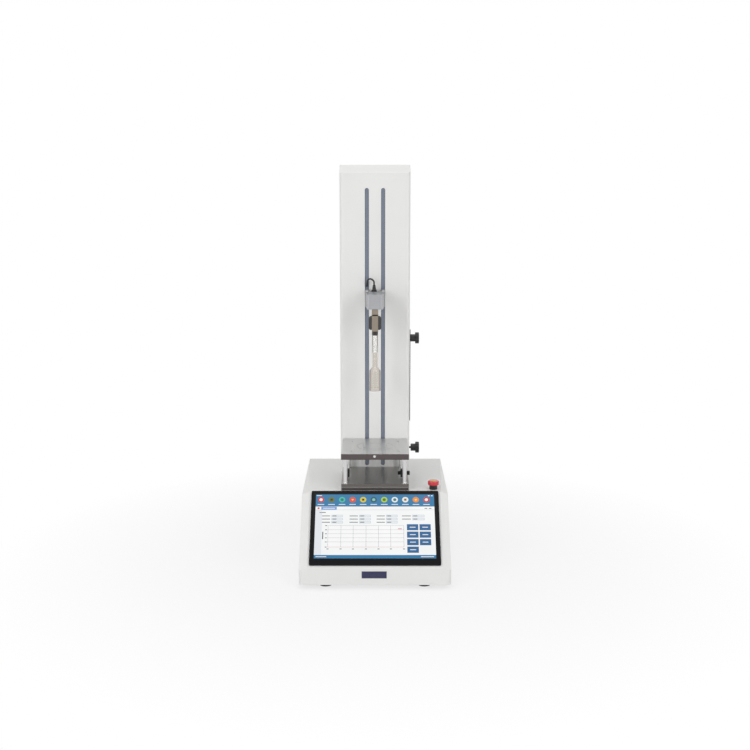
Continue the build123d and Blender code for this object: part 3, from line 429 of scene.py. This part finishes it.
tile(98, 126, -73.2, -71.6, 2, pale)
screen_picture = join("screen_picture", picture)
screen_picture.matrix_world = Matrix.Translation(screen_centre) @ Matrix.Rotation(panel_angle, 4, "X")
bpy.ops.object.transform_apply()
lit = Paint("screen_light")
tint = lit.node("ShaderNodeAttribute", {}, "Color", attribute_name="tint")
glow = lit.noise(14.0, 1.0) * 0.1 + 0.92
lit.set({
    "Base Color": (0.004, 0.004, 0.005, 1),
    "Roughness": lit.noise(60.0, 1.0) * 0.06 + 0.16,
    "Emission Color": lit.mix((0, 0, 0, 1), tint, glow),
    "Emission Strength": 0.92,
})
finish_piece(screen_picture, lit.owner, "frame")

# Emergency stop: a red cap with a thin yellow disc on top as a painted highlight, on a black
# collar that is screwed through the deck to its contact block.
dress(moulded("stop_collar_plastic", tone(26, 28, 28), 0.38), "estop_collar", "estop_contact_block")
dress(moulded("stop_stem_plastic", tone(200, 198, 190), 0.4), "estop_plunger")
dress(moulded("stop_cap_plastic", tone(214, 22, 40), 0.24, depth=0.00001, coat=0.6), "estop_cap")
cap_low, cap_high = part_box("estop_cap")
cap_x, cap_y = (cap_low.x + cap_high.x) / 2, (cap_low.y + cap_high.y) / 2
# Painted highlight: a thin yellow disc on the cap's crown.
disc = rod("stop_cap_highlight_disc", (cap_x, cap_y, cap_high.z + 0.0001), 0.0066, 0.0006, edge=0.0002)
finish_piece(disc, moulded("stop_disc_painted_highlight", tone(214, 176, 70), 0.35), "estop_button")

# Rear sockets: a mains inlet, a rocker switch and data ports in a zinc plated panel that
# closes a window near the foot of the back.
dress(moulded("inlet_plastic", tone(30, 30, 31), 0.42), "mains_inlet", "switch_frame")
dress(chassis_zinc, "socket_panel")
dress(moulded("rocker_plastic", tone(24, 24, 25), 0.26, coat=0.3), "power_rocker")
dress(brushed_metal("port_shells", tone(176, 178, 178), 0.3, "X"), "data_ports")

# Electronics inside the base: a vented power supply, and the controller board on brass
# standoffs.
vented = Paint("supply_sheet")
grid = {"Vector": vented.place(), "Scale": 220.0, "Randomness": 0.0}
holes = vented.node("ShaderNodeTexVoronoi", grid, "Distance")
# Painted shade: the vent holes are dark dots painted on the solid sheet, standing for the dark inside.
vented.set({
    "Base Color": vented.mix(tone(24, 24, 26), tone(170, 172, 172), holes > 0.3),
    "Metallic": 0.9,
    "Roughness": vented.noise(80.0) * 0.2 + 0.3,
})
dress(vented.owner, "power_supply")
board = Paint("board_lacquer")
cells = board.node("ShaderNodeTexVoronoi", {"Vector": board.place(), "Scale": 160.0}, "Distance")
board.set({
    "Base Color": board.mix(tone(24, 84, 52), tone(40, 120, 70), cells > 0.4),
    "Roughness": board.noise(200.0) * 0.2 + 0.3,
    "Normal": board.bump(cells, 0.0001),
})
dress(board.owner, "controller_board")
dress(brushed_metal("standoff_brass", tone(200, 166, 96), 0.3, "Z"), "board_standoffs")

# Drive inside the column: the motor hangs under its plate and turns the ball screw through
# a coupling. The screw has a rolled thread.
dress(moulded("motor_paint", tone(40, 42, 46), 0.45), "drive_motor")
drive_aluminium = brushed_metal("drive_aluminium", tone(190, 192, 192), 0.36, "X")
dress(drive_aluminium, "motor_plate", "shaft_coupling", "nut_bracket")
drive_steel = brushed_metal("drive_steel", tone(150, 150, 152), 0.28, "Z")
dress(drive_steel, "motor_shaft", "lower_screw_bearing", "upper_screw_bearing", "ball_nut")
screw_y, screw_lead = 0.157, 0.010
thread = Paint("screw_thread")
from_axis = {0: thread.axis("Y") - screw_y, 1: thread.axis("X")}
turn = thread.node("ShaderNodeMath", from_axis, 0, operation="ARCTAN2")
helix = (turn + thread.axis("Z") * (math.tau / screw_lead)).math("SINE")
# Painted shade: the thread's grooves are painted darker and its crests lighter.
thread.set({
    "Base Color": thread.mix(tone(70, 70, 74), tone(176, 178, 182), helix * 0.5 + 0.5),
    "Metallic": 1.0,
    "Roughness": thread.noise(900.0) * 0.15 + 0.18,
    "Normal": thread.bump(helix, 0.0008),
})
dress(thread.owner, "ball_screw")

# Column: an extruded aluminium channel with two ground rails, closed by a front cover with
# two long slots and by a back cover held with screws. The covers have the base's coat.
dress(brushed_metal("channel_anodised", tone(120, 126, 138), 0.42, "Z"), "column_channel")
dress(brushed_metal("rail_ground_steel", tone(186, 188, 190), 0.22, "Z"), "guide_rails")
dress(brushed_metal("carriage_steel", tone(130, 134, 138), 0.32, "Z"), "rail_carriages")
dress(powder_coat("column_coat", coat_white), "column_front_cover", "column_back_cover")
dress(screw_zinc, "back_cover_screws")

# Slot seals: four strips of short bristles held behind the front cover. The inner two fill
# its slots and close round the arms.
seal_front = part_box("column_front_cover")[0].y + 0.0034
seal_thick, seal_half_width = 0.0012, 0.0062
seal_foot, seal_top = 0.194, 0.846
seals = [block("seal", (x - seal_half_width, seal_front, seal_foot),
               (x + seal_half_width, seal_front + seal_thick, seal_top))
         for x in (-0.0558, -0.0186, 0.0186, 0.0558)]
bristle = Paint("seal_bristle")
hairs = bristle.noise(1.0, 2.0, bristle.scaled(bristle.place(), [260.0, 260.0, 3200.0]))
bristle.set({
    "Base Color": bristle.mix(tone(98, 106, 122), tone(150, 158, 174), hairs),
    "Roughness": hairs * 0.3 + 0.55,
    "Normal": bristle.bump(hairs, 0.0002),
})
finish_piece(join("slot_seals", seals), bristle.owner, "frame")

# Travel stops: a thin graduated strip down the right side of the column, and two stop
# blocks on it that black scalloped knobs clamp.
strip = Paint("strip_anodised")
tick_pitch = 0.005
ticks = (strip.axis("Z") / tick_pitch).math("FRACT") < 0.12
strip.set({
    "Base Color": strip.mix(tone(44, 46, 50), tone(176, 178, 180), ticks),
    "Metallic": 0.5,
    "Roughness": strip.noise(300.0) * 0.2 + 0.32,
})
dress(strip.owner, "stop_guide_strip")
dress(moulded("stop_block_plastic", tone(34, 35, 37), 0.45), "upper_stop_block", "lower_stop_block")
knob_plastic = moulded("stop_knob_plastic", tone(18, 18, 19), 0.34, depth=0.00003, coat=0.2)
dress(knob_plastic, "upper_stop_knob", "lower_stop_knob")

# Crosshead: the carriage plate on its rail blocks behind the slots, two light grey arms
# that come out through the slots, and the brushed beam that they are screwed to.
dress(brushed_metal("carriage_aluminium", tone(168, 170, 172), 0.4, "Z"), "carriage_plate")
dress(brushed_metal("flag_zinc", tone(176, 178, 176), 0.38, "Y"), "trip_flag")
dress(powder_coat("arm_coat", tone(196, 196, 194), 0.36, grain=0.0008, depth=0.00003), "carriage_arms")
dress(brushed_metal("beam_anodised", tone(176, 177, 180), 0.42, "X", metallic=0.7), "crosshead_beam")
dress(brushed_metal("beam_screw_steel", tone(120, 120, 122), 0.3, "Z"), "beam_screws", "lead_socket")


# Load cell: a block of stainless steel under the beam with its gauges sealed behind side
# covers. The lead leaves through a ribbed boot on the beam and goes back into the column.
def turned_metal(name, color, roughness, centre, radius=0.0, rim=0.6, depth=0.000005):
    """Metal with fine lathe rings about an upright axis.

    With a radius, the colour falls off by the factor rim towards the left and right sides: a painted dark
    reflection along the edges of a polished round bar.
    """
    paint = Paint(name)
    away = paint.node("ShaderNodeVectorMath", {0: paint.place(), 1: centre}, 0, operation="SUBTRACT")
    across = paint.scaled(away, [1.0, 1.0, 0.0])
    reach = paint.node("ShaderNodeVectorMath", {0: across}, "Value", operation="LENGTH")
    along = paint.node("ShaderNodeSeparateXYZ", {0: away}, "Z")
    lathe = paint.node("ShaderNodeCombineXYZ", {0: reach, 1: along})
    rings = paint.noise(2400.0, 2.0, lathe)
    cloud = paint.noise(60.0, 2.0)
    turned = paint.mix(darker(color, 0.86), color, rings)
    # Painted reflection: the colour is darkened towards the bar's left and right sides.
    if radius:
        side = paint.axis("X").math("ABSOLUTE") / radius
        shade = paint.node("ShaderNodeMapRange", {"Value": side, "From Min": 0.62, "From Max": 0.9})
        turned = paint.mix(turned, darker(color, rim), shade)
    return paint.set({
        "Base Color": turned,
        "Metallic": 1.0,
        "Roughness": (rings - 0.5) * 0.16 + (cloud - 0.5) * 0.08 + roughness,
        "Normal": paint.bump(rings, depth),
    })


dress(brushed_metal("cell_stainless", tone(158, 147, 134), 0.36, "Z"), "load_cell")
dress(moulded("cell_cover_paint", tone(62, 60, 57), 0.48), "gauge_covers")
dress(moulded("boot_rubber", tone(30, 30, 31), 0.55), "cable_gland")
dress(moulded("lead_jacket", tone(52, 52, 54), 0.5), "load_cell_lead")
probe_axis = (0.0, -0.0045, 0.0)
dress(turned_metal("stud_steel", tone(150, 146, 140), 0.3, probe_axis), "cell_stud")
dress(brushed_metal("lock_nut_steel", tone(74, 72, 70), 0.34, "Z"), "lock_nut")

# Probe: a chromed adapter on the load cell's stud, and a polished test cylinder on a
# turned shank that screws into the adapter.
adapter_radius, probe_radius = 0.0062, 0.0125
# The adapter and the test cylinder get painted dark reflections along their left and right sides.
adapter_chrome = turned_metal("adapter_chrome", tone(216, 214, 210), 0.24, probe_axis, adapter_radius, 0.2)
dress(adapter_chrome, "probe_adapter")
probe_polished = turned_metal("probe_polished", tone(206, 200, 192), 0.14, probe_axis, probe_radius, 0.5)
dress(probe_polished, "cylinder_probe")

# Test platform: two ground aluminium plates held apart by four chromed posts. The lower
# plate rests on the deck, and black thumb wheels turn in the lugs on it.
def ground_plate(name, color, front_reflection_color, front):
    """Brushed metal whose front face, up to the plane at front, is painted darker: a painted reflection of
    the dark room in front.
    """
    paint = Paint(name)
    lines = paint.noise(1.0, 2.0, paint.scaled(paint.place(), [30.0, 2600.0, 2600.0]))
    top = paint.mix(darker(color, 0.86), color, lines)
    return paint.set({
        "Base Color": paint.mix(top, front_reflection_color, paint.axis("Y") < front + 0.0005),
        "Metallic": 0.85,
        "Roughness": (lines - 0.5) * 0.2 + 0.38,
        "Normal": paint.bump(lines, 0.000006),
    })


upper_low, upper_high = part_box("upper_platform_plate")
under_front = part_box("lower_platform_plate")[0].y
# Both plates' front faces are painted dark, a painted reflection.
under_aluminium = ground_plate("lower_plate_aluminium", tone(186, 185, 182), tone(104, 100, 98), under_front)
dress(under_aluminium, "lower_platform_plate")
dress(brushed_metal("lug_aluminium", tone(168, 168, 166), 0.42, "X"), "thumb_wheel_lugs")
post_chrome = turned_metal("post_chrome", tone(214, 214, 214), 0.1, (0, 0, 0), depth=0.000001)
dress(post_chrome, "platform_posts")
upper_aluminium = ground_plate("upper_plate_aluminium", tone(212, 212, 211), tone(92, 84, 84), upper_low.y)
dress(upper_aluminium, "upper_platform_plate")
knurl_y, knurl_z, knurl_ribs = -0.030, 0.2048, 36.0
knurled = Paint("wheel_plastic")
from_hub = {0: knurled.axis("Y") - knurl_y, 1: knurled.axis("Z") - knurl_z}
wheel_turn = knurled.node("ShaderNodeMath", from_hub, 0, operation="ARCTAN2")
ribs = (wheel_turn * knurl_ribs).math("SINE")
# Painted shade: the grooves between the ribs are painted darker.
knurled.set({
    "Base Color": knurled.mix(tone(12, 12, 12), tone(30, 30, 31), ribs * 0.5 + 0.5),
    "Roughness": knurled.noise(500.0) * 0.15 + 0.34,
    "Normal": knurled.bump(ribs, 0.0002),
})
dress(knurled.owner, "left_thumb_wheel", "right_thumb_wheel", "right_thumb_knob")
screw_foot = (-0.001, upper_low.y, (upper_low.z + upper_high.z) / 2 + 0.001)
front_screw = screw_head("plate_front_screw", screw_foot, (math.pi / 2, 0, 0), 0.0026, 0.0010)
front_screw_steel = brushed_metal("front_screw_steel", tone(230, 230, 228), 0.2, "X")
finish_piece(front_screw, front_screw_steel, "frame")

# Studio: a pale floor that shows white with a soft shadow, two tall soft boxes in front, a
# weaker one overhead, a white room, and a dark card behind the camera that polished metal
# reflects.
bpy.ops.object.select_all(action="DESELECT")
floor_side = 14
bpy.ops.mesh.primitive_plane_add(size=floor_side)
floor = bpy.context.object
floor.name = "floor"
ground = Tree(bpy.data.materials.new("floor_paper"))
diffuse = ground.node("ShaderNodeBsdfDiffuse", {"Color": (0.86, 0.86, 0.86, 1)})
bright = ground.node("ShaderNodeEmission", {"Color": (1, 1, 1, 1), "Strength": 1.0})


def shown_rays(tree):
    """One where a ray shows the studio: from the camera, or through metal and glass."""
    rays = [tree.node("ShaderNodeLightPath", {}, name)
            for name in ("Is Camera Ray", "Is Glossy Ray", "Is Transmission Ray")]
    return (rays[0] + rays[1] + rays[2]).math("MINIMUM", 1.0)


away = ground.node("ShaderNodeVectorMath", {0: ground.place()}, "Value", operation="LENGTH")
fade_range = {"Value": away, "From Min": 0.3, "From Max": 0.9, "To Min": 0.72, "To Max": 1.0}
fade = ground.node("ShaderNodeMapRange", fade_range)
both = ground.node("ShaderNodeMixShader", {0: shown_rays(ground) * fade, 1: diffuse, 2: bright})
ground.feed(ground.nodes["Material Output"].inputs["Surface"], both)
floor.data.materials.append(ground.owner)


def soft_box(name, place, width, height, power):
    """An area light that points at the middle of the object."""
    bpy.ops.object.light_add(type="AREA", location=place)
    lamp = bpy.context.object
    lamp.name = name
    lamp.data.shape = "RECTANGLE"
    lamp.data.size = width
    lamp.data.size_y = height
    lamp.data.energy = power
    aim = Vector((0, 0, 0.42)) - Vector(place)
    lamp.rotation_euler = aim.to_track_quat("-Z", "Y").to_euler()


bpy.ops.object.select_all(action="DESELECT")
card_place, card_size = (0, -3.4, 1.2), (1.2, 2.2, 1)
bpy.ops.mesh.primitive_plane_add(
    size=1, location=card_place, rotation=(-math.pi / 2, 0, 0), scale=card_size)
card = bpy.context.object
card.name = "dark_card"
card.data.materials.append(moulded("card_felt", tone(40, 38, 36), 0.9))
soft_box("left_box", (-1.6, -1.9, 1.15), 1.1, 2.0, 20)
soft_box("right_box", (1.6, -1.9, 1.15), 1.1, 2.0, 17)
soft_box("top_box", (0, 0.1, 2.7), 1.8, 1.8, 8)
bpy.context.scene.world = bpy.data.worlds.new("studio")
room = Tree(bpy.context.scene.world)
for node in list(room.nodes):
    room.nodes.remove(node)
height = room.node("ShaderNodeSeparateXYZ", {0: room.node("ShaderNodeTexCoord", {}, "Generated")}, "Z")
wall_grey = room.mix((0.36, 0.36, 0.37, 1), (0.62, 0.62, 0.62, 1), height)
walls = room.node("ShaderNodeBackground", {"Color": wall_grey})
backdrop = room.node("ShaderNodeBackground", {"Color": (1, 1, 1, 1), "Strength": 1.0})
shown = room.node("ShaderNodeMixShader", {0: shown_rays(room), 1: walls, 2: backdrop})
output = room.nodes.new("ShaderNodeOutputWorld")
room.feed(output.inputs["Surface"], shown)
bpy.context.scene.view_settings.view_transform = "Standard"
